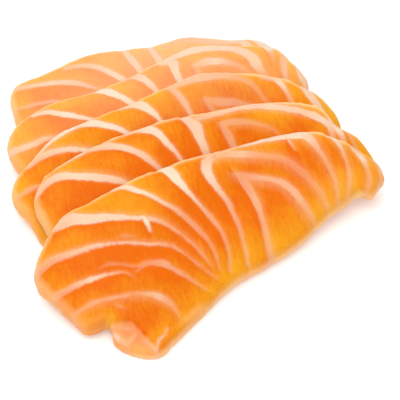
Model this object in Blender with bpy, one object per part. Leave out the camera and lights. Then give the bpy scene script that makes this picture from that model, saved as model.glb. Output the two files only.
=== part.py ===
"""A fan of five raw salmon slices, cut across one fillet and laid like roof tiles.

The rearmost slice lies flat on the table.  Each slice in front of it covers the near part of the one
behind and drapes down to the table in front of it, so its cut face tips towards the viewer.
X runs along the slices, Y from the front slice to the rearmost one, +Z up.  The origin is the middle of
the underside of the whole fan.  Run with: blender --background --python part.py
"""
import math

import bmesh
import bpy
import numpy as np

MM = 0.001                    # outlines and thicknesses below are in millimetres

# Driving dimensions
THICKNESS = 4.8               # a slice in its middle
RIM_THINNING = 1.1            # how much thinner a slice is just inside its rim
RIM_FADE = 4.0                # how fast that thinning fades on the way in to the spine
THICKNESS_WAVE = 0.25         # the knife's unevenness, up and down
WAVE_LENGTH = 46.0            # length of that unevenness along a slice
LAYER_GAP = 0.45              # air between one slice and the next
DRAPE_REACH = 14.0            # a slice comes down to the table over this distance
DRAPE_SHOULDER = 1.8          # it stays level this far past the rim that it lies on
DRAPE_SOFTNESS = 0.5          # 0 keeps the drape straight, 1 makes it an S all the way
DRAPE_ROUNDING = 0.16         # share of the drape over which its two ends are rounded
FLAKE_DROP = 1.5              # the torn flake at the front slice's near tip lies this much lower
# x, y and direction in degrees of the two straight edges at which the step down to the flake lies
FLAKE_EDGES = ((-27.0, 14.2, -8.0), (-24.6, 10.5, -68.0))
FLAKE_SLOPE = 1.6             # width of the step

# Mesh density
RIM_POINTS = 84               # round a slice
# Section of a slice from the middle of its underside, round the rim, to the middle of its top.
# Each ring is (share of the way in from the rim to the spine, share of the thickness).
SECTION = (
    (0.86, 0.0), (0.55, 0.0), (0.27, 0.0), (0.09, 0.0),
    (0.015, 0.16), (0.0, 0.50), (0.015, 0.82),
    (0.10, 1.0), (0.28, 1.0), (0.50, 1.0), (0.70, 1.0), (0.88, 1.0),
)

# Each slice seen from above, as the points that a smooth closed curve passes through, anticlockwise,
# beginning with its right end; then its spine and the colour of its flesh.  The lines of the mesh run from
# the rim to the nearest point of the spine; by the front slice's notch they run to the point nearest a lead.
SLICES = {
    "slice_1": {
        "outline": (
            (47.9, 39.1), (47.4, 43.8), (43.2, 48.4), (38.6, 51.6), (31.0, 55.2), (20.0, 56.2), (3.0, 54.2),
            (-8.0, 52.2), (-20.0, 49.6), (-28.0, 47.2), (-34.5, 45.8), (-40.0, 40.5), (-45.0, 35.4),
            (-45.1, 31.0), (-42.4, 25.2), (-39.9, 20.4), (-37.8, 16.8), (-34.9, 16.2), (-32.2, 16.4),
            (-31.7, 14.4), (-31.7, 12.0), (-28.7, 8.2), (-22.8, 5.3), (-18.1, 8.1), (-9.5, 13.9), (1.0, 20.4),
            (13.0, 24.5), (21.2, 27.9), (29.3, 32.4), (35.8, 34.9), (39.8, 36.7), (43.2, 35.6), (46.2, 37.6),
        ),
        "spine": ((-25.5, 13.0), (-26.0, 18.5), (-23.5, 24.0), (-17.0, 29.5), (-6.0, 34.0), (10.0, 39.5),
                  (35.0, 46.0)),
        "leads": {11: (-22.0, 25.3), 12: (-22.9, 24.5), 13: (-23.3, 24.2), 14: (-23.7, 23.5), 15: (-24.0, 22.9),
                  16: (-24.4, 22.1), 17: (-24.6, 21.5), 18: (-25.0, 20.8), 19: (-26.0, 18.5), 20: (-25.7, 15.5)},
        "colour": (0.90, 0.26, 0.07),
    },
    "slice_2": {
        "outline": (
            (49.3, 47.5), (47.5, 54.2), (43.2, 58.6), (40.1, 64.7), (31.0, 68.3), (21.0, 70.0), (9.0, 69.3),
            (-4.0, 68.6), (-20.0, 66.0), (-31.0, 62.8), (-36.8, 59.4), (-40.0, 55.0), (-39.2, 49.0),
            (-38.0, 42.0), (-37.3, 34.0), (-33.0, 28.5), (-24.0, 27.0), (-10.0, 31.0), (6.0, 36.5),
            (22.0, 40.5), (36.0, 42.5), (46.1, 43.7),
        ),
        "spine": ((-28.0, 45.0), (32.0, 55.0)),
        "colour": (0.90, 0.27, 0.08),
    },
    "slice_3": {
        "outline": (
            (45.8, 63.6), (43.7, 71.3), (38.5, 75.9), (33.0, 79.3), (21.0, 83.2), (12.0, 85.0), (4.0, 82.8),
            (-6.0, 79.9), (-15.0, 78.0), (-28.0, 74.8), (-37.0, 70.0), (-42.6, 66.0), (-44.1, 61.5),
            (-41.5, 54.8), (-39.6, 48.0), (-34.5, 42.5), (-22.0, 42.0), (-6.0, 47.0), (10.0, 52.5),
            (25.0, 56.0), (39.0, 58.0),
        ),
        "spine": ((-30.0, 57.0), (29.0, 69.0)),
        "colour": (0.91, 0.29, 0.09),
    },
    "slice_4": {
        "outline": (
            (42.7, 79.3), (41.0, 87.5), (38.1, 95.6), (28.9, 99.0), (17.0, 102.2), (9.0, 100.3),
            (-3.0, 96.0), (-14.0, 93.2), (-27.0, 91.0), (-35.5, 87.0), (-40.5, 82.0), (-41.3, 77.5),
            (-39.0, 71.0), (-35.0, 63.5), (-26.0, 60.5), (-12.0, 63.0), (4.0, 68.0), (20.0, 71.5),
            (36.0, 73.0),
        ),
        "spine": ((-27.0, 75.5), (26.0, 85.0)),
        "colour": (0.92, 0.33, 0.12),
    },
    "slice_5": {
        "outline": (
            (43.0, 91.8), (41.0, 98.6), (37.4, 105.7), (29.0, 108.2), (18.5, 112.9), (12.0, 112.7),
            (6.9, 112.3), (0.0, 113.5), (-11.0, 114.2), (-24.0, 109.6), (-33.7, 106.5), (-35.8, 98.3),
            (-35.8, 90.0), (-33.5, 81.0), (-26.0, 76.5), (-12.0, 78.5), (4.0, 81.5), (20.0, 84.0),
            (37.0, 86.0),
        ),
        "spine": ((-23.0, 93.0), (28.0, 98.0)),
        "colour": (0.93, 0.37, 0.15),
    },
}


def clear_scene():
    """Empty the file, so that it holds only the fan."""
    for thing in list(bpy.data.objects):
        bpy.data.objects.remove(thing, do_unlink=True)


def smooth_outline(points, count):
    """A closed curve through the points, as count points at equal distances; more columns than two go along."""
    points = np.array(points)
    steps = np.linspace(0.0, 1.0, 24, endpoint=False)[:, None]
    before, after, beyond = np.roll(points, 1, 0), np.roll(points, -1, 0), np.roll(points, -2, 0)
    spans = []
    for p0, p1, p2, p3 in zip(before, points, after, beyond):
        spans.append(0.5 * (2 * p1 + (p2 - p0) * steps + (2 * p0 - 5 * p1 + 4 * p2 - p3) * steps ** 2
                            + (3 * p1 - p0 - 3 * p2 + p3) * steps ** 3))
    curve = np.vstack(spans + [spans[0][:1]])
    travelled = np.append(0.0, np.cumsum(np.hypot(*np.diff(curve[:, :2], axis=0).T)))
    stations = np.linspace(0.0, travelled[-1], count, endpoint=False)
    return np.column_stack([np.interp(stations, travelled, column) for column in curve.T])


def depth_inside(outline, places):
    """How far each place lies inside the outline; less than 0 outside it."""
    nearest = np.full(len(places), np.inf)
    inside = np.zeros(len(places), bool)
    x, y = places.T
    for start, end in zip(outline, np.roll(outline, -1, 0)):
        edge = end - start
        share = np.clip((places - start) @ edge / (edge @ edge), 0.0, 1.0)
        nearest = np.minimum(nearest, np.hypot(*(places - start - share[:, None] * edge).T))
        crosses = (start[1] > y) != (end[1] > y)
        if edge[1]:
            inside ^= crosses & (x < start[0] + (y - start[1]) * edge[0] / edge[1])
    return np.where(inside, nearest, -nearest)


def drape(depth):
    """Share of a covered slice's thickness that lifts the cover: 1 over it, 0 past the drape's reach."""
    share = 1.0 + (depth + DRAPE_SHOULDER) / DRAPE_REACH
    curved = np.clip(share, 0.0, 1.0)
    start = np.clip(share + DRAPE_ROUNDING, 0.0, 2 * DRAPE_ROUNDING) ** 2 / (4 * DRAPE_ROUNDING)
    end = np.clip(1.0 - share + DRAPE_ROUNDING, 0.0, 2 * DRAPE_ROUNDING) ** 2 / (4 * DRAPE_ROUNDING)
    straight = np.clip(share, DRAPE_ROUNDING, 1.0 - DRAPE_ROUNDING) + start - end
    return DRAPE_SOFTNESS * curved ** 2 * (3.0 - 2.0 * curved) + (1.0 - DRAPE_SOFTNESS) * straight


def thickness(rank, places):
    """Thickness of a slice away from its rim, with the knife's slow waves."""
    phase = 2.1 * rank
    x, y = places.T
    wave = np.sin(2 * math.pi * x / WAVE_LENGTH + phase) * np.cos(math.pi * y / WAVE_LENGTH + phase)
    return THICKNESS + THICKNESS_WAVE * wave


def underside(rank, outlines, places):
    """Height of a slice's underside, lifted by every slice that lies behind and beneath it."""
    height = np.zeros(len(places))
    for covered in range(rank + 1, len(outlines)):
        depth = depth_inside(outlines[covered], places)
        height += (thickness(covered, places) + LAYER_GAP) * drape(depth)
    return height


def flake_step(places):
    """How far the front slice's torn near tip lies below the rest of its top."""
    beyond = np.full(len(places), np.inf)
    for x, y, turn in FLAKE_EDGES:
        across = np.array([math.sin(math.radians(turn)), -math.cos(math.radians(turn))])
        beyond = np.minimum(beyond, (places - (x, y)) @ across)
    return FLAKE_DROP / (1.0 + np.exp(-4.0 * beyond / FLAKE_SLOPE))


def along_spine(spine, places):
    """How far along the spine its nearest point to each place lies."""
    nearest, along = np.full(len(places), np.inf), np.zeros(len(places))
    travelled = 0.0
    for start, end in zip(spine, spine[1:]):
        edge = end - start
        length = np.hypot(*edge)
        share = np.clip((places - start) @ edge / length ** 2, 0.0, 1.0)
        distance = np.hypot(*(places - start - share[:, None] * edge).T)
        closer = distance < nearest
        nearest[closer] = distance[closer]
        along[closer] = (travelled + share * length)[closer]
        travelled += length
    return along


def rim_and_core(entry, count):
    """Points round a slice's rim, and the point of its spine that each one's line leads to."""
    spine = np.array(entry["spine"])
    aims = np.array([entry.get("leads", {}).get(i, point) for i, point in enumerate(entry["outline"])])
    curve = smooth_outline(np.column_stack([entry["outline"], along_spine(spine, aims)]), count)
    travelled = np.append(0.0, np.cumsum(np.hypot(*np.diff(spine, axis=0).T)))
    core = np.column_stack([np.interp(curve[:, 2], travelled, spine[:, axis]) for axis in (0, 1)])
    return curve[:, :2], core


def slice_rings(rank, outlines, core):
    """The section's rings round a slice, from the middle of its underside to the middle of its top."""
    rim = outlines[rank]
    rings = []
    for inward, lift in SECTION:
        places = rim + inward * (core - rim)
        bottom = underside(rank, outlines, places)
        tall = thickness(rank, places) - RIM_THINNING * (1.0 - inward) ** RIM_FADE
        if rank == 0:
            tall -= flake_step(places)
        rings.append(np.column_stack([places, bottom + lift * tall]))
    return rings


def loft(name, rings):
    """A closed mesh that joins ring to ring and caps the first and the last one."""
    count = len(rings[0])
    ahead = [(i + 1) % count for i in range(count)]
    faces = [tuple(reversed(range(count)))]
    for level in range(len(rings) - 1):
        low, high = level * count, (level + 1) * count
        faces += [(low + i, low + ahead[i], high + ahead[i], high + i) for i in range(count)]
    faces.append(tuple((len(rings) - 1) * count + i for i in range(count)))
    mesh = bpy.data.meshes.new(name)
    mesh.from_pydata((np.vstack(rings) * MM).tolist(), [], faces)
    shaped = bmesh.new()
    shaped.from_mesh(mesh)
    bmesh.ops.triangulate(shaped, faces=shaped.faces[:], quad_method="SHORT_EDGE", ngon_method="BEAUTY")
    shaped.to_mesh(mesh)
    shaped.free()
    mesh.shade_smooth()
    return mesh


def flesh_material(name, colour):
    """Raw salmon: orange, moist and fairly smooth."""
    material = bpy.data.materials.new(name + "_flesh")
    material.use_nodes = True
    shader = material.node_tree.nodes["Principled BSDF"]
    shader.inputs["Base Color"].default_value = (*colour, 1.0)
    shader.inputs["Roughness"].default_value = 0.35
    shader.inputs["Metallic"].default_value = 0.0
    return material


def build_fan():
    """One object for each slice, shifted so that the fan stands on the origin."""
    collection = bpy.data.collections.new("salmon_sashimi_fan")
    bpy.context.scene.collection.children.link(collection)
    rims = [rim_and_core(entry, RIM_POINTS) for entry in SLICES.values()]
    outlines = [rim for rim, _ in rims]
    everything = np.vstack(outlines)
    middle = np.append((everything.min(0) + everything.max(0)) / 2, 0.0)
    for rank, (name, entry) in enumerate(SLICES.items()):
        rings = slice_rings(rank, outlines, rims[rank][1])
        mesh = loft(name, [ring - middle for ring in rings])
        mesh.materials.append(flesh_material(name, entry["colour"]))
        collection.objects.link(bpy.data.objects.new(name, mesh))


clear_scene()
build_fan()
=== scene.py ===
"""Raw salmon slices in a fan, as sashimi is served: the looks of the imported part.

Each slice is cut anew round its CAD solid's own outline, far finer, and takes that solid's place.  The fat
sheets between the muscle bands are curves on the slice: every point of the mesh knows how far it lies from
them, and the flesh material turns that into pale marbling.  Lengths in the tables are in millimetres.
"""
import math
from functools import partial

import bpy
import numpy as np
from bpy.props import FloatProperty, FloatVectorProperty, IntProperty, PointerProperty
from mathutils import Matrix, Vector


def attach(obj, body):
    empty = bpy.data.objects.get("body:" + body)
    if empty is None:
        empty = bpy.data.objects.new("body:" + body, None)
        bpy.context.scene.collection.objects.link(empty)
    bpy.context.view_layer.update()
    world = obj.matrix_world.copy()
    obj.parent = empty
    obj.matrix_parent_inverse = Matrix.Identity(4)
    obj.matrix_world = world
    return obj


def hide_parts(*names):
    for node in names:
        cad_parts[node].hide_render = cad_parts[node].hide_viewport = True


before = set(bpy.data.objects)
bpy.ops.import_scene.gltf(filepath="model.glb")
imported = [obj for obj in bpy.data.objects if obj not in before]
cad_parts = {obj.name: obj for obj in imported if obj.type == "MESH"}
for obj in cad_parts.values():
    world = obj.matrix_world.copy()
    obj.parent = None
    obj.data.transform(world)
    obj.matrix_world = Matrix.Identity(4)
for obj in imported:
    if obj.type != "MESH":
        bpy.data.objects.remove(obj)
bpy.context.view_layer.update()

bl_info = {
    "name": "Salmon Sashimi Fan",
    "version": (1, 0, 0),
    "blender": (4, 5, 0),
    "location": "3D View > Sidebar > Sashimi",
    "description": "Cuts five marbled salmon slices round the packed solids and lays them on a pale stage",
    "category": "Add Mesh",
}

MM = 0.001

# How the slices lie, in the same values as the solids have
THICKNESS = 4.8
RIM_THINNING = 1.1
RIM_FADE = 4.0
THICKNESS_WAVE = 0.25
WAVE_LENGTH = 46.0
LAYER_GAP = 0.45
DRAPE_REACH = 14.0
DRAPE_SHOULDER = 1.8
DRAPE_SOFTNESS = 0.5
DRAPE_ROUNDING = 0.16
RIM_POINTS = 84                                # corners of a solid's rim, which the drape is measured from
FLAKE_DROP = 1.5
FLAKE_SLOPE = 1.4                              # width of the step down to the flake

# How the mesh rounds a slice's rim, as shares of the way in to the spine; the top edge is the rounder one
LOWER_ROUNDING = 0.035
UPPER_ROUNDING = 0.10
ROUNDING_POWER = 1.3

# The cut surface
RIM_SHRINK = 0.08                              # how far the rim draws in everywhere, and how much that varies
BITE_REACH = 0.8                               # from a fat sheet's edge, as is the next
GROOVE_REACH = 0.5
HOLLOWS = 0.05                                 # depth of the shallow hollows that the knife leaves

# What the fat sheets do to the flesh beside them
NO_FAT_NEAR = 6.0                              # the distance told where no sheet is near
SHEET_MARGIN = 8.0                             # a sheet does nothing farther away than this
SOFT_SIDE = 2.0                                # a sheet's left edge is this many times as soft as its right
HAZE_STRETCH = 1.7                             # how far a haze fades out, against the reach in the table
HAZE_FULL = 1.5                                # a haze at least this wide is at its strongest
BESIDE_REACH = 2.4                             # how far flesh is deeper or lighter beside a sheet

# Directions seen from above, which steer the painted light along the rims: the far rim faces the first, the
# left ends the second, and the palest walls the third or its opposite
TO_BACK = np.array([0.31, 0.95])
TO_LEFT = np.array([-0.8, 0.6])
TO_PALE_WALL = np.array([-0.55, 0.83])

# The torn lip at the front slice's near tip, over the flake that lies lower
LIP = ((-34.0, 14.5), (-32.0, 15.5), (-29.5, 15.0), (-26.5, 14.0), (-25.5, 12.0), (-24.5, 9.5), (-23.0, 6.5),
       (-22.5, 3.0))
LIP_REACH = 9.0                                # the distance told where the lip isn't near

# Fat sheets of each slice, named from its near tip to its right end.  haze is how far a sheet shines through
# the flesh on its left and on its right side, because it runs down at a slant.  white is how white it is, in
# even steps from its first point to its last.  Each point is x, y and the width that the knife laid open.  The
# last points of most sheets of slices 2 to 5 lie under the slice in front.  The sheets along the far rims of
# slices 1 to 3 are no fat: they are painted highlight where light from behind catches the rim.  The arch_7
# sheets of slices 2 to 5 near the far rims are real fat, made wider and whiter to carry part of that painted
# highlight.
SHEETS = {
    "slice_1": {
        "flake_1": {"haze": (0.2, 0.2), "white": (0.7, 0.8, 0.5), "points": (
            (-32.0, 15.0, 1.1), (-30.5, 12.0, 1.4), (-29.0, 9.5, 0.9))},
        "flake_2": {"haze": (0.2, 0.2), "white": (0.35, 0.4), "points": (
            (-31.0, 15.0, 0.7), (-29.0, 14.0, 0.7), (-27.0, 13.0, 0.7))},
        "flake_3": {"haze": (0.2, 0.2), "white": (0.35, 0.5, 0.35), "points": (
            (-29.0, 10.0, 1.0), (-28.0, 10.5, 1.3), (-26.5, 12.0, 1.0))},
        "flake_4": {"haze": (0.2, 0.2), "white": (0.45, 0.75), "points": (
            (-25.0, 9.0, 1.0), (-24.0, 7.5, 1.0), (-23.0, 6.0, 1.0))},
        "flake_5": {"haze": (0.2, 0.2), "white": (0.7, 0.75, 0.45), "points": (
            (-23.0, 6.0, 0.9), (-21.5, 8.0, 0.9), (-20.0, 9.0, 0.9), (-19.0, 10.5, 0.7))},
        "end_0": {"haze": (0.6, 1.2), "white": (0.35, 0.45, 0.35), "points": (
            (-39.5, 20.5, 1.2), (-39.0, 18.0, 1.5), (-38.0, 15.5, 1.4))},
        "tip_1": {"haze": (0.5, 1.1), "white": (0.4, 0.65, 0.6, 0.75, 0.25), "points": (
            (-39.5, 20.0, 1.1), (-34.5, 20.5, 1.1), (-27.5, 20.0, 1.0), (-22.5, 19.5, 1.1), (-19.0, 18.5, 1.7),
            (-16.5, 16.5, 1.6), (-15.0, 12.5, 0.8))},
        "tip_1_mark": {"haze": (0.6, 0.6), "white": (0.15, 0.3, 0.15), "points": (
            (-29.5, 19.0, 0.7), (-28.5, 18.0, 0.9), (-27.0, 17.0, 0.7))},
        "tip_2": {"haze": (0.5, 0.2), "white": (0.4, 0.65, 0.85, 0.7, 0.2), "points": (
            (-43.5, 26.0, 2.1), (-38.0, 26.0, 1.6), (-33.0, 26.0, 1.6), (-28.0, 26.0, 1.1), (-25.0, 25.5, 0.8),
            (-23.0, 23.5, 0.6))},
        "tip_2_branch": {"haze": (0.5, 0.3), "white": (0.2, 0.4, 0.4, 0.65, 0.55, 0.3), "points": (
            (-30.5, 28.0, 0.5), (-28.5, 28.5, 0.7), (-25.5, 28.0, 0.7), (-22.0, 26.5, 0.8), (-18.5, 26.5, 1.7),
            (-15.5, 26.0, 1.9), (-12.5, 23.5, 1.3), (-6.5, 18.5, 0.8))},
        "tip_2_hook": {"haze": (0.2, 0.2), "white": (0.4, 0.5), "points": (
            (-22.0, 25.0, 0.7), (-20.5, 26.0, 0.8), (-19.0, 26.5, 0.8))},
        "tip_3": {"haze": (0.7, 0.2), "white": (0.55, 0.75, 0.8, 0.8, 0.55, 0.3), "points": (
            (-44.5, 34.0, 3.0), (-41.0, 34.0, 2.2), (-36.0, 33.5, 1.9), (-30.0, 33.5, 1.4), (-25.0, 33.0, 0.9),
            (-18.0, 31.5, 1.2), (-12.0, 30.0, 1.0), (-9.0, 27.0, 0.8), (-6.0, 23.5, 0.8), (-3.5, 21.0, 0.8))},
        "streak_3": {"haze": (0.3, 0.3), "white": (0.15, 0.3, 0.2), "points": (
            (-24.0, 34.0, 0.9), (-22.0, 34.0, 1.2), (-20.0, 33.5, 0.9))},
        "back_4": {"haze": (0.9, 0.2), "white": (0.75, 0.85, 0.85, 0.85, 0.65, 0.5, 0.4), "points": (
            (-37.0, 42.0, 3.9), (-33.5, 42.5, 4.6), (-29.5, 41.0, 3.9), (-24.0, 39.5, 2.5), (-19.0, 38.0, 1.5),
            (-12.5, 36.0, 1.3), (-9.5, 33.5, 1.1), (-6.0, 28.5, 1.1), (-4.0, 24.0, 0.8))},
        "torn_4": {"haze": (0.1, 0.1), "white": (0.8, 1.1, 0.8), "points": (
            (-18.0, 38.0, 0.9), (-16.5, 37.5, 1.5), (-16.0, 36.0, 1.4), (-16.0, 34.5, 0.8))},
        "back_5": {"haze": (0.6, 0.3), "white": (0.8, 0.95, 0.8, 0.6, 0.45, 0.35), "points": (
            (-21.5, 48.5, 1.8), (-19.0, 48.5, 2.0), (-15.5, 46.0, 1.8), (-11.5, 41.5, 1.5), (-7.5, 38.0, 1.6),
            (-5.5, 35.5, 1.8), (-3.0, 31.0, 1.2), (-2.0, 27.0, 1.0), (-2.0, 23.0, 0.8))},
        "back_6": {"haze": (0.5, 0.3), "white": (0.95, 1.0, 0.7, 0.5, 0.35), "points": (
            (-9.0, 51.5, 1.5), (-6.5, 50.5, 3.2), (-5.0, 46.0, 2.6), (-3.0, 41.5, 1.5), (0.0, 36.0, 1.6),
            (1.5, 31.0, 1.3), (1.5, 26.0, 1.1), (0.5, 22.5, 1.0))},
        "arch_7_leg": {"haze": (0.4, 0.4), "white": (0.7, 0.9, 0.7, 0.55, 0.45), "points": (
            (7.0, 53.0, 2.6), (4.0, 51.0, 3.0), (3.0, 47.0, 2.9), (4.0, 43.0, 2.1), (5.5, 39.5, 1.6),
            (6.0, 35.0, 1.4), (6.0, 28.0, 1.2), (5.5, 23.5, 1.2))},
        "arch_7_crown": {"haze": (1.0, 1.5), "white": (0.6, 0.75, 0.45, 0.4, 0.4), "points": (
            (5.0, 52.0, 2.6), (8.5, 53.0, 3.4), (13.0, 51.5, 2.9), (19.0, 49.5, 2.0), (23.5, 47.5, 2.0),
            (27.0, 43.5, 2.2), (29.0, 38.5, 1.8), (30.0, 34.0, 1.4))},
        # Painted highlight along the far rim, drawn like a fat sheet: no fat lies here
        "painted_rim_highlight": {"haze": (0.2, 1.0), "white": (0.75, 0.85, 0.9, 0.9), "points": (
            (11.0, 55.0, 1.8), (15.5, 55.0, 2.5), (21.0, 55.0, 3.0), (26.0, 54.5, 3.2), (30.5, 53.5, 3.4))},
        "tail_10": {"haze": (1.0, 1.2), "white": (0.9, 0.75, 0.55, 0.5, 0.4), "points": (
            (29.5, 54.5, 3.1), (31.5, 52.0, 2.9), (33.0, 48.0, 1.8), (34.0, 44.0, 1.4), (34.0, 38.0, 1.3),
            (33.0, 33.5, 1.3))},
        "fleck_9": {"haze": (0.1, 0.1), "white": (0.9, 0.7), "points": (
            (26.0, 54.0, 0.9), (26.5, 51.5, 0.8), (27.0, 49.5, 0.6))},
        "tail_11": {"haze": (1.0, 0.8), "white": (0.95, 0.75, 0.5, 0.5, 0.4), "points": (
            (37.5, 52.0, 2.0), (38.5, 49.5, 1.7), (39.0, 45.5, 1.1), (38.5, 41.0, 1.3), (37.0, 37.0, 1.2),
            (35.5, 34.5, 1.0))},
        "tail_12": {"haze": (0.8, 0.8), "white": (0.75, 0.9, 0.6, 0.5, 0.4), "points": (
            (42.0, 47.5, 1.4), (43.5, 44.5, 2.1), (43.5, 41.0, 1.4), (43.0, 38.0, 1.6), (41.0, 35.5, 1.2))},
        "tail_13": {"haze": (0.6, 0.8), "white": (0.6, 0.7, 0.5), "points": (
            (46.0, 46.5, 1.2), (47.0, 42.0, 1.7), (46.5, 38.5, 1.3), (44.0, 35.0, 1.0))},
        "arch_8_leg": {"haze": (0.9, 0.4), "white": (0.55, 0.7, 0.6, 0.55), "points": (
            (10.0, 46.0, 1.4), (11.5, 43.5, 2.4), (12.5, 39.5, 2.2), (12.5, 33.0, 1.6), (12.0, 27.0, 1.8),
            (12.0, 24.0, 2.1))},
        "arch_8_crown": {"haze": (0.6, 1.6), "white": (0.5, 0.7, 0.7, 0.7, 0.4), "points": (
            (10.0, 46.0, 1.4), (12.5, 45.0, 1.9), (18.0, 43.5, 1.7), (21.5, 41.5, 2.3), (23.5, 37.0, 2.2),
            (24.5, 34.0, 2.1), (25.5, 31.0, 1.4))},
    },
    "slice_2": {
        "left_3": {"haze": (1.0, 0.4), "white": (0.7, 0.9, 0.8, 0.5, 0.4), "points": (
            (-39.0, 55.5, 1.7), (-36.5, 57.0, 2.0), (-32.5, 58.0, 2.4), (-27.5, 56.5, 2.3), (-21.5, 54.5, 2.3),
            (-17.0, 52.5, 1.7), (-9.0, 46.0, 1.3), (-2.0, 36.5, 1.2))},
        # Painted highlight along the far rim, drawn like a fat sheet: no fat lies here
        "painted_rim_highlight": {"haze": (0.4, 0.8), "white": (0.8, 0.95, 1.0), "points": (
            (-34.0, 61.2, 1.7), (-29.0, 63.2, 2.0), (-21.0, 65.2, 2.0))},
        "left_4": {"haze": (0.5, 0.3), "white": (0.7, 0.85, 0.75, 0.55, 0.4), "points": (
            (-24.0, 64.2, 1.8), (-19.5, 64.2, 2.5), (-15.0, 62.6, 2.4), (-11.0, 59.0, 2.2), (-7.5, 54.7, 1.7),
            (-3.5, 47.0, 1.3), (-2.5, 39.0, 1.2))},
        "middle_5": {"haze": (0.3, 0.6), "white": (0.7, 0.95, 0.85, 0.65, 0.5, 0.4), "points": (
            (-12.5, 66.8, 1.7), (-9.0, 67.0, 2.8), (-5.5, 65.4, 2.7), (-3.5, 61.0, 2.0), (-1.5, 57.0, 1.4),
            (0.0, 50.0, 1.2), (-1.0, 38.5, 1.2))},
        "middle_6": {"haze": (0.6, 0.5), "white": (0.8, 0.85, 0.6, 0.45, 0.4), "points": (
            (3.5, 67.5, 2.5), (5.0, 65.5, 3.8), (5.5, 61.0, 2.8), (6.0, 57.0, 2.3), (5.5, 47.0, 1.5),
            (3.0, 38.0, 1.2))},
        "arch_7": {"haze": (0.3, 1.0), "white": (0.7, 0.75, 0.8, 0.85, 0.8), "points": (
            (4.5, 66.5, 1.6), (11.5, 67.5, 2.0), (18.0, 68.5, 2.3), (24.0, 68.0, 2.3), (30.5, 65.5, 2.2),
            (35.0, 63.5, 2.2))},
        "arch_8_leg": {"haze": (0.6, 0.5), "white": (0.55, 0.6, 0.4, 0.4), "points": (
            (12.5, 64.5, 1.7), (13.0, 61.5, 2.3), (13.5, 58.0, 1.8), (13.5, 50.0, 1.3), (13.0, 39.5, 1.2))},
        "arch_8_crown": {"haze": (0.6, 1.2), "white": (0.55, 0.55, 0.4, 0.25, 0.05), "points": (
            (12.5, 64.5, 1.6), (16.0, 64.5, 2.0), (20.5, 63.5, 1.6), (25.5, 60.5, 1.1), (27.5, 54.0, 0.8))},
        "right_9": {"haze": (0.3, 0.5), "white": (0.8, 0.9, 0.6, 0.4), "points": (
            (34.5, 63.5, 2.2), (38.0, 61.5, 2.6), (40.0, 59.0, 2.4), (39.5, 54.5, 1.5), (37.0, 49.5, 1.2))},
        "right_10": {"haze": (0.3, 0.5), "white": (0.8, 0.9, 0.6, 0.4), "points": (
            (41.0, 60.5, 1.7), (42.0, 57.0, 2.3), (42.0, 53.5, 1.8), (41.0, 49.0, 1.2))},
        "right_11": {"haze": (0.3, 0.4), "white": (0.6, 0.4), "points": (
            (44.0, 57.0, 1.0), (44.5, 53.0, 1.0), (45.0, 47.0, 1.2))},
    },
    "slice_3": {
        "left_2": {"haze": (0.4, 0.4), "white": (0.5, 0.6, 0.4), "points": (
            (-43.0, 61.0, 1.4), (-41.0, 61.0, 1.6), (-38.0, 61.0, 1.6), (-33.0, 59.5, 1.2))},
        "left_3": {"haze": (0.9, 0.4), "white": (0.7, 0.9, 0.7, 0.4), "points": (
            (-38.0, 68.0, 1.9), (-35.0, 69.0, 2.4), (-30.5, 69.0, 2.1), (-23.5, 67.5, 1.6), (-13.0, 61.5, 1.3),
            (-2.0, 48.5, 1.2))},
        # Painted highlight along the far rim, drawn like a fat sheet: no fat lies here
        "painted_rim_highlight": {"haze": (0.4, 0.8), "white": (0.75, 0.9, 1.0), "points": (
            (-35.5, 69.8, 1.6), (-30.0, 72.6, 1.9), (-24.0, 74.8, 2.3))},
        "left_4": {"haze": (0.6, 0.4), "white": (0.8, 1.05, 0.8, 0.5, 0.4), "points": (
            (-24.5, 74.5, 1.8), (-20.5, 75.0, 3.1), (-17.0, 73.5, 2.3), (-11.5, 70.0, 1.6), (-5.0, 62.0, 1.3),
            (-2.5, 51.0, 1.2))},
        "middle_5": {"haze": (0.3, 0.6), "white": (0.8, 0.95, 0.75, 0.5, 0.4), "points": (
            (-10.5, 78.0, 2.2), (-7.5, 78.0, 3.6), (-4.0, 75.0, 2.4), (-2.0, 71.5, 1.5), (0.0, 62.0, 1.2),
            (-1.0, 50.5, 1.2))},
        "middle_6": {"haze": (0.4, 0.7), "white": (0.7, 0.75, 0.5, 0.4), "points": (
            (3.5, 81.0, 2.1), (5.0, 77.0, 2.4), (6.5, 71.5, 1.5), (5.5, 61.0, 1.2), (3.0, 49.5, 1.2))},
        "arch_7": {"haze": (0.3, 1.0), "white": (0.7, 0.75, 0.7, 0.4, 0.3), "points": (
            (3.5, 80.5, 2.4), (8.0, 82.0, 3.5), (14.0, 82.0, 3.4), (20.0, 81.0, 2.6), (24.5, 78.5, 2.0),
            (26.5, 75.0, 1.4), (28.0, 69.0, 1.2))},
        "arch_8_leg": {"haze": (0.4, 0.4), "white": (0.5, 0.4), "points": (
            (11.5, 75.0, 1.5), (12.5, 72.0, 1.5), (13.5, 62.0, 1.2), (13.0, 51.5, 1.2))},
        "arch_8_crown": {"haze": (0.4, 1.0), "white": (0.5, 0.6, 0.55, 0.3, 0.05), "points": (
            (11.5, 75.0, 1.6), (15.0, 74.0, 2.3), (20.0, 73.0, 2.0), (24.0, 71.0, 1.4), (27.0, 66.0, 0.8))},
        "right_9": {"haze": (0.4, 0.5), "white": (0.6, 0.9, 0.6, 0.5, 0.35), "points": (
            (28.5, 79.0, 1.3), (32.0, 78.0, 2.2), (33.5, 75.0, 1.8), (34.0, 70.5, 1.4), (33.0, 61.0, 1.2))},
        "right_10": {"haze": (0.3, 0.5), "white": (0.8, 0.85, 0.75, 0.4), "points": (
            (38.0, 77.0, 1.5), (39.5, 73.0, 2.6), (41.0, 68.0, 2.6), (41.5, 60.0, 1.2))},
    },
    "slice_4": {
        "left_2": {"haze": (0.8, 0.5), "white": (0.75, 0.8, 0.75, 0.5), "points": (
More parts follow.
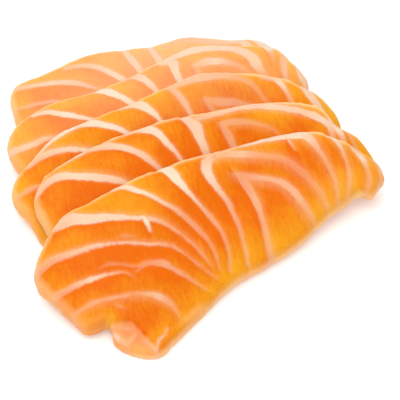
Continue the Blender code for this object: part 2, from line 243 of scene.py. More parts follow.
            (-41.0, 78.0, 2.0), (-38.5, 77.0, 2.2), (-35.0, 76.5, 2.0), (-30.5, 77.0, 1.9),
            (-26.0, 75.0, 1.4))},
        "left_3": {"haze": (0.5, 0.4), "white": (0.8, 1.0, 0.8, 0.5, 0.4), "points": (
            (-32.0, 87.0, 1.8), (-29.0, 87.0, 2.3), (-23.5, 84.0, 2.4), (-18.0, 80.5, 1.5), (-9.0, 73.5, 1.2),
            (0.0, 65.5, 1.2))},
        "left_4": {"haze": (0.4, 0.5), "white": (0.9, 1.1, 0.9, 0.6, 0.4), "points": (
            (-18.0, 92.5, 2.3), (-14.0, 93.0, 3.5), (-10.5, 90.0, 2.9), (-6.5, 84.0, 2.2), (-2.0, 76.0, 1.4),
            (-0.5, 68.0, 1.2))},
        "middle_5": {"haze": (0.4, 0.5), "white": (0.7, 0.9, 0.7, 0.5, 0.4), "points": (
            (-5.5, 95.0, 2.4), (-2.5, 95.0, 3.6), (0.0, 91.0, 2.5), (1.0, 87.5, 2.1), (2.0, 78.0, 1.3),
            (1.5, 67.5, 1.2))},
        "middle_6": {"haze": (0.4, 0.4), "white": (0.8, 0.9, 0.75, 0.5, 0.4), "points": (
            (6.0, 97.0, 2.4), (8.5, 96.5, 3.4), (8.5, 92.0, 2.5), (8.5, 88.0, 2.2), (7.5, 78.0, 1.4),
            (5.0, 67.0, 1.2))},
        "arch_7": {"haze": (0.5, 0.6), "white": (0.85, 0.9, 0.85, 0.8, 0.4), "points": (
            (8.0, 98.0, 2.7), (13.0, 99.0, 3.4), (22.0, 98.5, 3.4), (27.0, 96.5, 3.6), (30.0, 92.5, 3.8),
            (30.5, 86.0, 2.8), (31.5, 78.5, 1.2))},
        "arch_8_leg": {"haze": (0.5, 0.5), "white": (0.6, 0.5, 0.4), "points": (
            (14.5, 93.0, 1.7), (14.0, 88.0, 1.5), (15.0, 78.0, 1.2), (15.5, 68.5, 1.2))},
        "arch_8_crown": {"haze": (0.5, 1.0), "white": (0.7, 0.85, 0.6, 0.3, 0.05), "points": (
            (14.5, 92.5, 2.5), (18.0, 93.0, 3.4), (22.5, 91.5, 2.8), (25.5, 89.0, 1.9), (27.5, 84.5, 1.2),
            (28.5, 79.0, 0.8))},
        "right_9": {"haze": (0.3, 0.4), "white": (0.8, 1.0, 0.4, 0.1), "points": (
            (34.5, 98.0, 1.9), (36.0, 95.5, 2.8), (36.0, 91.5, 1.6), (35.0, 87.0, 0.9))},
        "right_10": {"haze": (0.5, 0.5), "white": (0.5, 0.7, 0.7, 0.5), "points": (
            (39.5, 94.0, 1.8), (38.5, 89.0, 2.2), (37.0, 84.5, 2.0), (36.0, 76.0, 1.2))},
        "right_11": {"haze": (0.4, 0.4), "white": (0.6, 0.8, 0.8), "points": (
            (41.0, 91.0, 1.2), (41.5, 87.0, 2.0), (41.0, 82.0, 2.2), (42.0, 76.5, 1.6))},
    },
    "slice_5": {
        "left_2": {"haze": (0.4, 0.4), "white": (0.6, 0.7, 0.6, 0.4), "points": (
            (-36.0, 97.0, 1.2), (-32.0, 96.5, 1.6), (-25.0, 96.0, 1.6), (-15.0, 89.5, 1.3),
            (-3.0, 79.5, 1.2))},
        "left_3": {"haze": (0.7, 0.3), "white": (0.7, 0.85, 0.75, 0.5, 0.4), "points": (
            (-34.0, 105.0, 1.9), (-30.0, 104.5, 2.3), (-22.5, 103.5, 2.3), (-18.5, 102.5, 2.6),
            (-13.0, 98.5, 1.6), (-6.0, 91.5, 1.3), (0.0, 82.5, 1.2))},
        "left_4": {"haze": (0.5, 0.3), "white": (0.7, 0.8, 0.9, 0.5, 0.4), "points": (
            (-18.0, 109.0, 2.0), (-14.5, 109.0, 2.4), (-9.5, 106.5, 2.5), (-5.5, 101.5, 2.6),
            (-2.0, 94.0, 1.6), (-0.5, 85.0, 1.2))},
        "middle_5": {"haze": (0.6, 0.6), "white": (0.8, 0.85, 0.7, 0.4), "points": (
            (-0.5, 114.0, 1.8), (0.0, 109.5, 2.6), (1.0, 103.5, 2.4), (2.0, 94.0, 1.5), (1.0, 84.5, 1.2))},
        "middle_6": {"haze": (0.6, 0.6), "white": (0.8, 0.85, 0.6, 0.4), "points": (
            (6.5, 111.0, 1.9), (7.5, 104.0, 2.5), (7.0, 94.0, 1.5), (5.0, 83.5, 1.2))},
        "arch_7": {"haze": (0.6, 0.8), "white": (0.6, 0.7, 0.75, 0.85, 0.5), "points": (
            (11.0, 110.0, 2.6), (14.5, 111.5, 3.9), (20.0, 110.0, 4.4), (26.0, 107.0, 4.4), (31.5, 105.5, 3.5),
            (33.0, 95.0, 1.2))},
        "right_9": {"haze": (0.4, 0.5), "white": (1.0, 0.9, 0.6), "points": (
            (35.5, 106.0, 2.6), (37.0, 103.5, 3.0), (36.5, 95.0, 1.2))},
        "right_10": {"haze": (0.4, 0.4), "white": (0.9, 0.9), "points": (
            (41.5, 102.0, 1.6), (42.0, 97.0, 1.7), (42.0, 93.0, 1.7))},
    },
}

# Where along x the slices' tones are given
TONE_PLACES = (-35.0, -18.0, 14.0, 38.0)

# Each slice seen from above: the points that its rim passes through, anticlockwise from its right end, its
# spine, and by the front slice's notch the leads of the mesh's lines, all as in the solids.  Then how pale its
# flesh is, which is painted glare, and how light and yellow it is, each at the tone places.
SLICES = {
    "slice_1": {
        "outline": (
            (47.9, 39.1), (47.4, 43.8), (43.2, 48.4), (38.6, 51.6), (31.0, 55.2), (20.0, 56.2), (3.0, 54.2),
            (-8.0, 52.2), (-20.0, 49.6), (-28.0, 47.2), (-34.5, 45.8), (-40.0, 40.5), (-45.0, 35.4),
            (-45.1, 31.0), (-42.4, 25.2), (-39.9, 20.4), (-37.8, 16.8), (-34.9, 16.2), (-32.2, 16.4),
            (-31.7, 14.4), (-31.7, 12.0), (-28.7, 8.2), (-22.8, 5.3), (-18.1, 8.1), (-9.5, 13.9), (1.0, 20.4),
            (13.0, 24.5), (21.2, 27.9), (29.3, 32.4), (35.8, 34.9), (39.8, 36.7), (43.2, 35.6), (46.2, 37.6),
        ),
        "spine": ((-25.5, 13.0), (-26.0, 18.5), (-23.5, 24.0), (-17.0, 29.5), (-6.0, 34.0), (10.0, 39.5),
                  (35.0, 46.0)),
        "leads": {11: (-22.0, 25.3), 12: (-22.9, 24.5), 13: (-23.3, 24.2), 14: (-23.7, 23.5),
                  15: (-24.0, 22.9), 16: (-24.4, 22.1), 17: (-24.6, 21.5), 18: (-25.0, 20.8),
                  19: (-26.0, 18.5), 20: (-25.7, 15.5)},
        "pale": (0.0, 0.0, 0.0, 0.0), "light": (-0.15, 0.1, -0.15, 0.05),
    },
    "slice_2": {
        "outline": (
            (49.3, 47.5), (47.5, 54.2), (43.2, 58.6), (40.1, 64.7), (31.0, 68.3), (21.0, 70.0), (9.0, 69.3),
            (-4.0, 68.6), (-20.0, 66.0), (-31.0, 62.8), (-36.8, 59.4), (-40.0, 55.0), (-39.2, 49.0),
            (-38.0, 42.0), (-37.3, 34.0), (-33.0, 28.5), (-24.0, 27.0), (-10.0, 31.0), (6.0, 36.5),
            (22.0, 40.5), (36.0, 42.5), (46.1, 43.7),
        ),
        "spine": ((-28.0, 45.0), (32.0, 55.0)),
        "pale": (0.0, 0.0, 0.0, 0.0), "light": (-0.1, -0.2, -0.15, 0.15),
    },
    "slice_3": {
        "outline": (
            (45.8, 63.6), (43.7, 71.3), (38.5, 75.9), (33.0, 79.3), (21.0, 83.2), (12.0, 85.0), (4.0, 82.8),
            (-6.0, 79.9), (-15.0, 78.0), (-28.0, 74.8), (-37.0, 70.0), (-42.6, 66.0), (-44.1, 61.5),
            (-41.5, 54.8), (-39.6, 48.0), (-34.5, 42.5), (-22.0, 42.0), (-6.0, 47.0), (10.0, 52.5),
            (25.0, 56.0), (39.0, 58.0),
        ),
        "spine": ((-30.0, 57.0), (29.0, 69.0)),
        "pale": (0.0, 0.0, 0.1, 0.0), "light": (0.0, -0.05, -0.1, 0.3),
    },
    "slice_4": {
        "outline": (
            (42.7, 79.3), (41.0, 87.5), (38.1, 95.6), (28.9, 99.0), (17.0, 102.2), (9.0, 100.3),
            (-3.0, 96.0), (-14.0, 93.2), (-27.0, 91.0), (-35.5, 87.0), (-40.5, 82.0), (-41.3, 77.5),
            (-39.0, 71.0), (-35.0, 63.5), (-26.0, 60.5), (-12.0, 63.0), (4.0, 68.0), (20.0, 71.5),
            (36.0, 73.0),
        ),
        "spine": ((-27.0, 75.5), (26.0, 85.0)),
        "pale": (0.1, 0.15, 0.3, 0.15), "light": (0.0, 0.0, 0.0, 0.35),
    },
    "slice_5": {
        "outline": (
            (43.0, 91.8), (41.0, 98.6), (37.4, 105.7), (29.0, 108.2), (18.5, 112.9), (12.0, 112.7),
            (6.9, 112.3), (0.0, 113.5), (-11.0, 114.2), (-24.0, 109.6), (-33.7, 106.5), (-35.8, 98.3),
            (-35.8, 90.0), (-33.5, 81.0), (-26.0, 76.5), (-12.0, 78.5), (4.0, 81.5), (20.0, 84.0),
            (37.0, 86.0),
        ),
        "spine": ((-23.0, 93.0), (28.0, 98.0)),
        "pale": (0.15, 0.25, 0.5, 0.35), "light": (0.0, 0.0, 0.0, 0.35),
    },
}


def linear(code):
    """An sRGB hex colour as linear red, green and blue."""
    shares = [int(code[place:place + 2], 16) / 255.0 for place in (1, 3, 5)]
    return tuple(share / 12.92 if share <= 0.04045 else ((share + 0.055) / 1.055) ** 2.4 for share in shares)


class SashimiSizes(bpy.types.PropertyGroup):
    """Sizes of the surface detail."""
    sheet_width: FloatProperty(name="Fat width", description="Width of the fat sheets against the real ones",
                               default=1.0, min=0.3, max=2.0, subtype="FACTOR")
    sheet_groove: FloatProperty(name="Fat groove", description="How deep the surface sinks along a fat sheet",
                                default=0.00014, min=0.0, max=0.0005, unit="LENGTH", precision=5)
    edge_bite: FloatProperty(name="Edge bite", description="How far the rim draws in at a fat sheet",
                             default=0.0003, min=0.0, max=0.001, unit="LENGTH", precision=5)
    rim_points: IntProperty(name="Points round a slice", description="Mesh points round the rim of a slice",
                            default=760, min=200, max=1000)
    top_rings: IntProperty(name="Rings on a slice", description="Rings of mesh points from rim to spine",
                           default=58, min=12, max=90)


class SashimiColours(bpy.types.PropertyGroup):
    """Colours of the flesh and of the floor."""
    flesh_deep: FloatVectorProperty(name="Flesh, deep", description="Thick flesh, and flesh right of fat",
                                    subtype="COLOR", default=linear("#CC5E00"), min=0.0, max=1.0)
    # Partly painted light: the flesh by the rim is mixed towards this colour for light coming through it
    flesh_light: FloatVectorProperty(name="Flesh, light", description="Flesh by the rim, and left of fat",
                                     subtype="COLOR", default=linear("#D49018"), min=0.0, max=1.0)
    fat_thin: FloatVectorProperty(name="Fat, thin", description="Fat that flesh still shines through",
                                  subtype="COLOR", default=linear("#D1A080"), min=0.0, max=1.0)
    fat_full: FloatVectorProperty(name="Fat, full", description="Fat where a sheet is whitest",
                                  subtype="COLOR", default=linear("#D4BFA7"), min=0.0, max=1.0)
    # Painted light: the far rim, the side walls and the glare on the rear slices are mixed towards this
    # colour, and the torn flake a little
    rim: FloatVectorProperty(name="Rim", description="The cut edge, where light comes through",
                             subtype="COLOR", default=linear("#EAC596"), min=0.0, max=1.0)
    floor: FloatVectorProperty(name="Floor", description="The pale floor",
                               subtype="COLOR", default=linear("#D9D8D7"), min=0.0, max=1.0)


def smooth_loop(points, count):
    """A closed curve through the points, as count points at equal distances.  Further columns go along."""
    points = np.array(points)
    steps = np.linspace(0.0, 1.0, 24, endpoint=False)[:, None]
    before, after, beyond = np.roll(points, 1, 0), np.roll(points, -1, 0), np.roll(points, -2, 0)
    spans = [0.5 * (2 * p1 + (p2 - p0) * steps + (2 * p0 - 5 * p1 + 4 * p2 - p3) * steps ** 2
                    + (3 * p1 - p0 - 3 * p2 + p3) * steps ** 3)
             for p0, p1, p2, p3 in zip(before, points, after, beyond)]
    curve = np.vstack(spans + [spans[0][:1]])
    travelled = np.append(0.0, np.cumsum(np.hypot(*np.diff(curve[:, :2], axis=0).T)))
    stations = np.linspace(0.0, travelled[-1], count, endpoint=False)
    return np.column_stack([np.interp(stations, travelled, column) for column in curve.T])


def smooth_line(points, steps=8):
    """An open curve through the points that doesn't swing out beside a long span; a width goes along."""
    points = np.array(points, float)
    gaps = np.diff(points, axis=0)
    spans = np.hypot(*gaps[:, :2].T)[:, None]
    slopes = gaps / spans
    turns = (slopes[:-1] * spans[1:] + slopes[1:] * spans[:-1]) / (spans[:-1] + spans[1:])
    turns = np.vstack([slopes[:1], turns, slopes[-1:]])
    t = np.linspace(0.0, 1.0, steps, endpoint=False)[:, None]
    parts = [start + gap * t ** 2 * (3.0 - 2.0 * t) + span * t * (1.0 - t) * ((1.0 - t) * leave - t * arrive)
             for start, gap, span, leave, arrive in zip(points, gaps, spans, turns, turns[1:])]
    return np.vstack(parts + [points[-1:]])


def depth_inside(outline, places):
    """How far each place lies inside the outline; less than 0 outside it."""
    nearest = np.full(len(places), np.inf)
    inside = np.zeros(len(places), bool)
    x, y = places.T
    for start, end in zip(outline, np.roll(outline, -1, 0)):
        edge = end - start
        share = np.clip((places - start) @ edge / (edge @ edge), 0.0, 1.0)
        nearest = np.minimum(nearest, np.hypot(*(places - start - share[:, None] * edge).T))
        crosses = (start[1] > y) != (end[1] > y)
        if edge[1]:
            inside ^= crosses & (x < start[0] + (y - start[1]) * edge[0] / edge[1])
    return np.where(inside, nearest, -nearest)


def from_line(rows, places):
    """Each place's distance to an open line, its side of it (1 is the left), how far along the line that is,
    and the line's other columns there."""
    near = np.full(len(places), np.inf)
    side, run = np.zeros(len(places)), np.zeros(len(places))
    extra = np.zeros((len(places), rows.shape[1] - 2))
    travelled = 0.0
    for a, b in zip(rows, rows[1:]):
        edge = b[:2] - a[:2]
        length = math.hypot(*edge)
        share = np.clip((places - a[:2]) @ edge / length ** 2, 0.0, 1.0)
        off = places - a[:2] - share[:, None] * edge
        distance = np.hypot(*off.T)
        closer = distance < near
        near[closer] = distance[closer]
        side[closer] = np.sign(edge[0] * off[closer, 1] - edge[1] * off[closer, 0])
        run[closer] = travelled + share[closer] * length
        extra[closer] = a[2:] + share[closer, None] * (b - a)[2:]
        travelled += length
    return near, side, run, extra


def rim_and_core(entry, count):
    """Points round a slice's rim, and the point of its spine that each one's line leads to."""
    spine = np.array(entry["spine"])
    aims = np.array([entry.get("leads", {}).get(i, point) for i, point in enumerate(entry["outline"])])
    along = from_line(spine, aims)[2]
    curve = smooth_loop(np.column_stack([entry["outline"], along]), count)
    travelled = np.append(0.0, np.cumsum(np.hypot(*np.diff(spine, axis=0).T)))
    return curve[:, :2], np.column_stack([np.interp(curve[:, 2], travelled, column) for column in spine.T])


def ripple(places, size, seed):
    """Smooth uneven waves of about that size, mostly between -1 and 1, the same on every run."""
    total = np.zeros(len(places))
    for step in range(5):
        turn = 2.4 * step + seed
        wave = 2 * math.pi / (size * (0.7 + 0.17 * step))
        total += np.sin(wave * (places @ np.array([math.cos(turn), math.sin(turn)])) + 5.1 * seed + step)
    usual_top = 3.2
    return total / usual_top


def thickness(rank, places):
    """Thickness of a slice away from its rim, with the knife's slow waves."""
    phase = 2.1 * rank
    x, y = places.T
    return THICKNESS + THICKNESS_WAVE * (np.sin(2 * math.pi * x / WAVE_LENGTH + phase)
                                         * np.cos(math.pi * y / WAVE_LENGTH + phase))


def underside(rank, outlines, places):
    """Height of a slice's underside, lifted by every slice that lies behind and beneath it."""
    height = np.zeros(len(places))
    bend = DRAPE_ROUNDING
    for covered in range(rank + 1, len(outlines)):
        share = 1.0 + (depth_inside(outlines[covered], places) + DRAPE_SHOULDER) / DRAPE_REACH
        curved = np.clip(share, 0.0, 1.0)
        rise = np.clip(share + bend, 0.0, 2 * bend) ** 2 / (4 * bend)
        level = np.clip(1.0 - share + bend, 0.0, 2 * bend) ** 2 / (4 * bend)
        straight = np.clip(share, bend, 1.0 - bend) + rise - level
        drape = DRAPE_SOFTNESS * curved ** 2 * (3.0 - 2.0 * curved) + (1.0 - DRAPE_SOFTNESS) * straight
        height += (thickness(covered, places) + LAYER_GAP) * drape
    return height


def marbling(name, places, widen):
    """What the fat sheets do at each place: how far the nearest edge is and how white its sheet, the haze of
    fat under the flesh, and the flesh beside a sheet, deep on its right and light on its left."""
    count = len(places)
    found = {title: np.zeros(count) for title in ("white", "haze", "deep", "light")}
    found["edge"] = np.full(count, NO_FAT_NEAR)
    for sheet in SHEETS[name].values():
        rows = smooth_line(sheet["points"])
        low, high = rows[:, :2].min(0) - SHEET_MARGIN, rows[:, :2].max(0) + SHEET_MARGIN
        close = np.flatnonzero(((places > low) & (places < high)).all(1))
        if not len(close):
            continue
        near, side, run, width = from_line(rows, places[close])
        length = np.hypot(*np.diff(rows[:, :2], axis=0).T).sum()
        white = np.interp(run / length, np.linspace(0.0, 1.0, len(sheet["white"])), sheet["white"])
        open_edge = near - 0.5 * width[:, 0] * widen
        edge = np.where((side > 0) & (open_edge > 0), open_edge / SOFT_SIDE, open_edge)
        nearer = edge < found["edge"][close]
        found["edge"][close[nearer]] = edge[nearer]
        found["white"][close[nearer]] = white[nearer]
        left, right = sheet["haze"]
        reach = np.where(side > 0, left, right)
        fading = np.clip(1.0 - open_edge / (HAZE_STRETCH * reach), 0.0, 1.0) ** 1.5
        beside = white ** 0.5 * np.exp(-np.maximum(open_edge, 0.0) / BESIDE_REACH)
        strengths = {
            "haze": white * fading * np.minimum(reach, HAZE_FULL) / HAZE_FULL,
            "deep": beside * (side < 0) * max(1.0 - right, 0.0),
            "light": beside * (side > 0) * min(left, 1.0),
        }
        for title, strength in strengths.items():
            found[title][close] = np.maximum(found[title][close], strength)
    return found


def section(top_rings):
    """Rings from the spine on the underside, round the rim, to the spine on the top: the share of the way from
    the rim in to the spine, and the share of the thickness."""
    rings = [(inward, 0.0) for inward in (1.0, 0.8, 0.64, 0.48, 0.34, 0.2)]
    for turn in np.radians([90, 68, 46, 24, 8]):
        rings.append((LOWER_ROUNDING * (1.0 - math.cos(turn)) ** ROUNDING_POWER, 0.5 - 0.5 * math.sin(turn)))
    for turn in np.radians([8, 22, 36, 48, 58, 67, 75, 83]):
        rings.append((UPPER_ROUNDING * (1.0 - math.cos(turn)) ** ROUNDING_POWER, 0.5 + 0.5 * math.sin(turn)))
    rings += [(inward, 1.0) for inward in np.linspace(UPPER_ROUNDING, 1.0, top_rings)]
    return rings


def rim_light(rim, outward):
    """Painted light by the rim: how pale light from behind and through the flesh makes the top along the rim,
    and how much paler the side wall is painted for the light on it.
    """
    fading_leftward = np.interp(rim[:, 0], (-40.0, 5.0), (0.5, 1.0))
    # Painted light on the far rim, which light from behind catches
    back = np.clip(outward @ TO_BACK, 0.0, 1.0) * fading_leftward
    # Painted highlight on the left ends
    left = 0.45 * np.clip(outward @ TO_LEFT, 0.0, 1.0) ** 2
    # Painted light on the side walls, most where they face back-left or front-right
    wall = 0.2 + 0.4 * np.abs(outward @ TO_PALE_WALL)
    return np.maximum(back, left), wall


def cut_slice(name, outlines, middle, sizes):
    """The mesh of one slice, with what the flesh material needs to know at each of its points."""
    rank = list(SLICES).index(name)
    count = sizes.rim_points
    rim, inner = rim_and_core(SLICES[name], count)
    inward = (inner - rim) / np.hypot(*(inner - rim).T)[:, None]
    fat = marbling(name, rim, sizes.sheet_width)
    bite = sizes.edge_bite / MM * np.exp(-(np.maximum(fat["edge"], 0.0) / BITE_REACH) ** 2) * fat["white"]
    rim = rim + inward * (bite + RIM_SHRINK + RIM_SHRINK * ripple(rim, 3.0, 1.7 + rank))[:, None]
    rings = section(sizes.top_rings)
    places = np.vstack([rim + share * (inner - rim) for share, _ in rings])
    inward_share, lift = np.repeat(rings, count, axis=0).T
    depth = depth_inside(outlines[rank], places)
    fat = marbling(name, places, sizes.sheet_width)
    tall = thickness(rank, places) - RIM_THINNING * (1.0 - inward_share) ** RIM_FADE
    lip = np.full(len(places), LIP_REACH)
    if rank == 0:
        near, side, _, _ = from_line(smooth_line(LIP), places)
        lip = near * side
        torn = 0.3 * ripple(places, 2.4, 0.4) - lip
        tall -= FLAKE_DROP / (1.0 + np.exp(-4.0 * torn / FLAKE_SLOPE))
    groove = sizes.sheet_groove / MM * np.exp(-(np.maximum(fat["edge"], 0.0) / GROOVE_REACH) ** 2)
    tall -= groove * (lift > 0.9)
    tall -= HOLLOWS * (1.0 + ripple(places, 5.0, 3.3 + rank))
    height = underside(rank, outlines, places) + lift * tall
    ahead = np.roll(np.arange(count), -1)
    levels = np.arange(len(rings) - 1)[:, None] * count
    here = np.arange(count)
    quads = np.stack(np.broadcast_arrays(levels + here, levels + ahead, levels + count + ahead,
                                         levels + count + here), axis=-1).reshape(-1, 4)
    mesh = bpy.data.meshes.new(name + "_flesh")
    mesh.from_pydata((np.column_stack([places - middle, height]) * MM).tolist(), [], quads.tolist())
    mesh.shade_smooth()
    # Painted light along the far rim, the left ends and the side walls
    far, wall = rim_light(rim, -inward)
    told = {
        "inward": inward_share,
        "lift": lift,
        "rim_depth": np.maximum(depth, 0.0),
        "lip": np.clip(lip, -LIP_REACH, LIP_REACH),
        "far": np.tile(far, len(rings)),
        "wall": np.tile(wall, len(rings)),
        "fat_edge": fat["edge"],
        "fat_white": fat["white"],
        "haze": fat["haze"],
        "deep": fat["deep"] - 0.5 * fat["light"],
        # Painted glare: the rear slices are paler
        "pale": np.interp(places[:, 0], TONE_PLACES, SLICES[name]["pale"]),
        "light": np.interp(places[:, 0], TONE_PLACES, SLICES[name]["light"]),
    }
    for title, values in told.items():
        mesh.attributes.new(title, "FLOAT", "POINT").data.foreach_set("value", values.astype(np.float32))
    return mesh


def add_node(tree, kind, inputs=(), out=0, **settings):
    """One node with its settings, of which the output out comes back.  Each of its inputs, by name or number,
    takes a plain value or the output that feeds it."""
    made = tree.nodes.new(kind)
    for title, value in settings.items():
        setattr(made, title, value)
    for title, value in dict(inputs).items():
        if isinstance(value, bpy.types.NodeSocket):
            tree.links.new(value, made.inputs[title])
        else:
            made.inputs[title].default_value = value
    return made.outputs[out] if made.outputs else made


def raw_salmon(name, colours):
    """Raw farmed salmon, cut with a wet knife.

    Flesh is translucent, so light that enters comes back orange and softens every edge.  The fat sheets are
    nearly opaque and creamy, and shine through the flesh on the side where they run down under it.  The cut
    is moist, which gives a soft gloss broken by the fibres.
    """
    material = bpy.data.materials.new(name)
    material.use_nodes = True
    tree = material.node_tree
    tree.nodes.clear()
    add = partial(add_node, tree)
    # A spread's inputs are its value, the range it comes from, and the range it goes to, if not 0 to 1.
    # A mix of colours has its factor at input 0, and the two colours at inputs 6 and 7
    math_node, mix, spread = "ShaderNodeMath", "ShaderNodeMix", "ShaderNodeMapRange"
    told = {title: add("ShaderNodeAttribute", out="Fac", attribute_name=title)
            for title in ("inward", "lift", "rim_depth", "lip", "far", "wall", "fat_edge", "fat_white", "haze",
                          "deep", "pale", "light")}

    place = add("ShaderNodeTexCoord", out="Object")
    in_mm = add("ShaderNodeVectorMath", {0: place, "Scale": 1000.0}, operation="SCALE")
    # 2.5 mm: the uneven edge of a fat sheet
    uneven = add("ShaderNodeTexNoise", {"Vector": in_mm, "Scale": 0.4, "Detail": 3.0})
    # 0.6 mm: bundles of fibres, seen end on
    grain = add("ShaderNodeTexNoise", {"Vector": in_mm, "Scale": 1.7, "Detail": 3.0, "Roughness": 0.6})
    # 12 mm: slow changes of the flesh's colour
    cloud = add("ShaderNodeTexNoise", {"Vector": in_mm, "Scale": 0.085, "Detail": 2.0})
    # Fibres run across the slice: 0.7 mm wide and about 4 mm long
    along = add("ShaderNodeVectorMath", {0: in_mm, 1: (1.5, 0.25, 0.6)}, operation="MULTIPLY")
    fibre = add("ShaderNodeTexNoise", {"Vector": along, "Scale": 1.0, "Detail": 2.0})

    # Where the fat lies open, by the distance to its sheet's edge, made uneven at each of those sizes
    edge = told["fat_edge"]
    for noise, reach in ((uneven, 0.7), (grain, 0.5), (fibre, 0.5)):
        edge = add(math_node, {0: noise, 1: reach, 2: edge}, operation="MULTIPLY_ADD")
    edge = add(math_node, {0: edge, 1: 0.85}, operation="SUBTRACT")
    cover = add(spread, {0: edge, 1: 0.34, 2: -0.46}, interpolation_type="SMOOTHSTEP")
    cover = add(math_node, {0: cover, 1: told["fat_white"]}, operation="MULTIPLY")
    veil = add(math_node, {0: fibre, 1: 0.5, 2: 0.3}, operation="MULTIPLY_ADD")
    haze = add(math_node, {0: told["haze"], 1: veil}, operation="MULTIPLY")
    fat = add(math_node, {0: cover, 1: haze}, operation="MAXIMUM")

    # Flesh: lighter and yellower by the rim, which is painted light coming through the thin flesh there and
    # painted shade further in, and deeper or lighter beside a fat sheet
    inmost, outmost = -1.15, -0.50
    tone = add(spread, {0: told["inward"], 1: 0.75, 2: 0.0, 3: inmost, 4: outmost},
               interpolation_type="SMOOTHSTEP")
    for value, weight in ((cloud, 1.3), (grain, 0.6), (fibre, 0.7), (told["deep"], -0.7)):
        tone = add(math_node, {0: value, 1: weight, 2: tone}, operation="MULTIPLY_ADD")
    tone = add(math_node, {0: tone, 1: told["light"]}, operation="ADD", use_clamp=True)
    surface = add(mix, {0: tone, 6: (*colours.flesh_deep, 1.0), 7: (*colours.flesh_light, 1.0)}, out=2,
                  data_type="RGBA")

    # Painted light, mixed towards the rim colour: glare on the rear slices, light on the side walls and light
    # from behind along the far rim.  The torn flake below the lip is paler too
    back_rim = add(spread, {0: told["rim_depth"], 1: 2.2, 2: 0.5}, interpolation_type="SMOOTHSTEP")
    upper = add(spread, {0: told["lift"], 1: 0.5, 2: 0.85, 3: 0.0, 4: 0.9}, interpolation_type="SMOOTHSTEP")
    for factor in (upper, told["far"]):
        back_rim = add(math_node, {0: back_rim, 1: factor}, operation="MULTIPLY")
    wall = add(spread, {0: told["lift"], 1: 1.0, 2: 0.3}, interpolation_type="SMOOTHSTEP")
    wall = add(math_node, {0: wall, 1: told["wall"]}, operation="MULTIPLY")
    torn = add(spread, {0: told["lip"], 1: 0.5, 2: -0.3, 3: 0.0, 4: 0.25}, interpolation_type="SMOOTHSTEP")
    for factor in (told["pale"], torn, wall, back_rim):
        surface = add(mix, {0: factor, 6: surface, 7: (*colours.rim, 1.0)}, out=2, data_type="RGBA")

    # Then the fat over it all
    surface = add(mix, {0: fat, 6: surface, 7: (*colours.fat_thin, 1.0)}, out=2, data_type="RGBA")
    full = add(spread, {0: fat, 1: 0.6, 2: 1.05}, interpolation_type="SMOOTHSTEP")
    surface = add(mix, {0: full, 6: surface, 7: (*colours.fat_full, 1.0)}, out=2, data_type="RGBA")

    height = add(math_node, {0: fibre, 1: 0.6, 2: grain}, operation="MULTIPLY_ADD")
    bump = add("ShaderNodeBump", {"Strength": 0.6, "Distance": 0.0002, "Height": height})
    gloss = add(spread, {0: grain, 1: 0.3, 2: 0.75, 3: 0.28, 4: 0.46})
    shader = add("ShaderNodeBsdfPrincipled", {
        "Base Color": surface, "Roughness": gloss, "IOR": 1.35, "Specular IOR Level": 0.10, "Normal": bump,
        "Subsurface Weight": 0.45, "Subsurface Radius": (1.0, 0.34, 0.12), "Subsurface Scale": 0.0014})
    add("ShaderNodeOutputMaterial", {0: shader})
    return material


def opal_board(colour):
    """Opal acrylic board, sanded and lit from below.

    It is pale and matt and glows a little, warmly, so the slices leave only a faint pinkish shadow.
    """
    material = bpy.data.materials.new("opal_board")
    material.use_nodes = True
    tree = material.node_tree
    tree.nodes.clear()
    place = add_node(tree, "ShaderNodeTexCoord", out="Object")
    # 0.8 mm roller texture
    roller = add_node(tree, "ShaderNodeTexNoise", {"Vector": place, "Scale": 1200.0, "Detail": 1.0})
    bump = add_node(tree, "ShaderNodeBump", {"Strength": 0.05, "Distance": 0.00005, "Height": roller})
    shader = add_node(tree, "ShaderNodeBsdfPrincipled", {
        "Base Color": (*colour, 1.0), "Roughness": 0.6, "Normal": bump,
        "Emission Color": (1.0, 0.74, 0.66, 1.0), "Emission Strength": 0.32})
    add_node(tree, "ShaderNodeOutputMaterial", {0: shader})
    return material


class SASHIMI_OT_cut_slices(bpy.types.Operator):
    """Cut the five marbled slices, each in the place of its CAD solid"""
    bl_idname = "sashimi.cut_slices"
    bl_label = "Cut Slices"

    def execute(self, context):
        sizes, colours = context.scene.sashimi_sizes, context.scene.sashimi_colours
        outlines = [smooth_loop(entry["outline"], RIM_POINTS) for entry in SLICES.values()]
        everything = np.vstack(outlines)
        middle = (everything.min(0) + everything.max(0)) / 2
        for name in SLICES:
            mesh = cut_slice(name, outlines, middle, sizes)
            mesh.materials.append(raw_salmon("raw_salmon_" + name, colours))
            piece = bpy.data.objects.new(name + "_flesh", mesh)
            context.scene.collection.objects.link(piece)
            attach(piece, "root")
            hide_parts(name)
        return {"FINISHED"}


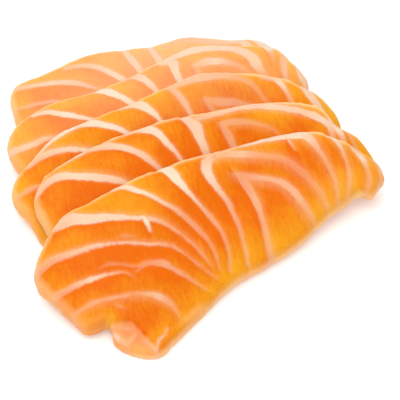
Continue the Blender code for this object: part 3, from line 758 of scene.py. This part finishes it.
class SASHIMI_OT_set_stage(bpy.types.Operator):
    """Lay the pale floor, and place the soft lights and the camera"""
    bl_idname = "sashimi.set_stage"
    bl_label = "Set Stage"

    def execute(self, context):
        scene = context.scene
        mesh = bpy.data.meshes.new("floor")
        half, level = 3.0, -0.0002
        corners = [(-half, -half, level), (half, -half, level), (half, half, level), (-half, half, level)]
        mesh.from_pydata(corners, [], [(0, 1, 2, 3)])
        mesh.materials.append(opal_board(scene.sashimi_colours.floor))
        floor = bpy.data.objects.new("floor", mesh)
        scene.collection.objects.link(floor)

        world = bpy.data.worlds.new("studio")
        world.use_nodes = True
        world.node_tree.nodes["Background"].inputs["Color"].default_value = (1.0, 1.0, 1.0, 1.0)
        world.node_tree.nodes["Background"].inputs["Strength"].default_value = 0.7
        scene.world = world

        aim = Vector((-0.00165, -0.0149, 0.008))
        # Name, place from the aim, side of the square lamp, power
        for title, offset, side, power in (("key", (-0.20, 0.24, 0.75), 0.9, 4.6),
                                           ("fill", (-0.15, -0.50, 0.80), 1.2, 7.2)):
            lamp = bpy.data.lights.new(title, "AREA")
            lamp.size = side
            lamp.energy = power
            holder = bpy.data.objects.new(title, lamp)
            holder.location = aim + Vector(offset)
            holder.rotation_euler = Vector(offset).to_track_quat("Z", "Y").to_euler()
            scene.collection.objects.link(holder)

        turn, rise, distance = math.radians(-18.0), math.radians(45.0), 0.4
        back = Vector((math.sin(turn) * math.cos(rise), -math.cos(turn) * math.cos(rise), math.sin(rise)))
        view = bpy.data.cameras.new("camera")
        view.lens = 144.0
        view.sensor_width = 36.0
        view.clip_start = 0.01
        camera = bpy.data.objects.new("camera", view)
        camera.location = aim + back * distance
        camera.rotation_euler = back.to_track_quat("Z", "Y").to_euler()
        scene.collection.objects.link(camera)
        scene.camera = camera
        scene.view_settings.view_transform = "Standard"
        return {"FINISHED"}


class SASHIMI_PT_panel(bpy.types.Panel):
    """Sizes, colours and steps of the sashimi fan"""
    bl_idname = "SASHIMI_PT_panel"
    bl_label = "Salmon Sashimi"
    bl_space_type = "VIEW_3D"
    bl_region_type = "UI"
    bl_category = "Sashimi"

    def draw(self, context):
        for title in ("sashimi_sizes", "sashimi_colours"):
            group = getattr(context.scene, title)
            box = self.layout.box()
            for key in group.__annotations__:
                box.prop(group, key)
        for operator in OPERATORS:
            self.layout.operator(operator.bl_idname)


OPERATORS = (SASHIMI_OT_cut_slices, SASHIMI_OT_set_stage)
CLASSES = (SashimiSizes, SashimiColours, *OPERATORS, SASHIMI_PT_panel)


def register():
    for cls in CLASSES:
        bpy.utils.register_class(cls)
    bpy.types.Scene.sashimi_sizes = PointerProperty(type=SashimiSizes)
    bpy.types.Scene.sashimi_colours = PointerProperty(type=SashimiColours)


def unregister():
    del bpy.types.Scene.sashimi_colours
    del bpy.types.Scene.sashimi_sizes
    for cls in reversed(CLASSES):
        bpy.utils.unregister_class(cls)


def main():
    """Register the add-on and build everything in order."""
    register()
    bpy.ops.sashimi.cut_slices()
    bpy.ops.sashimi.set_stage()


if __name__ == "__main__":
    main()
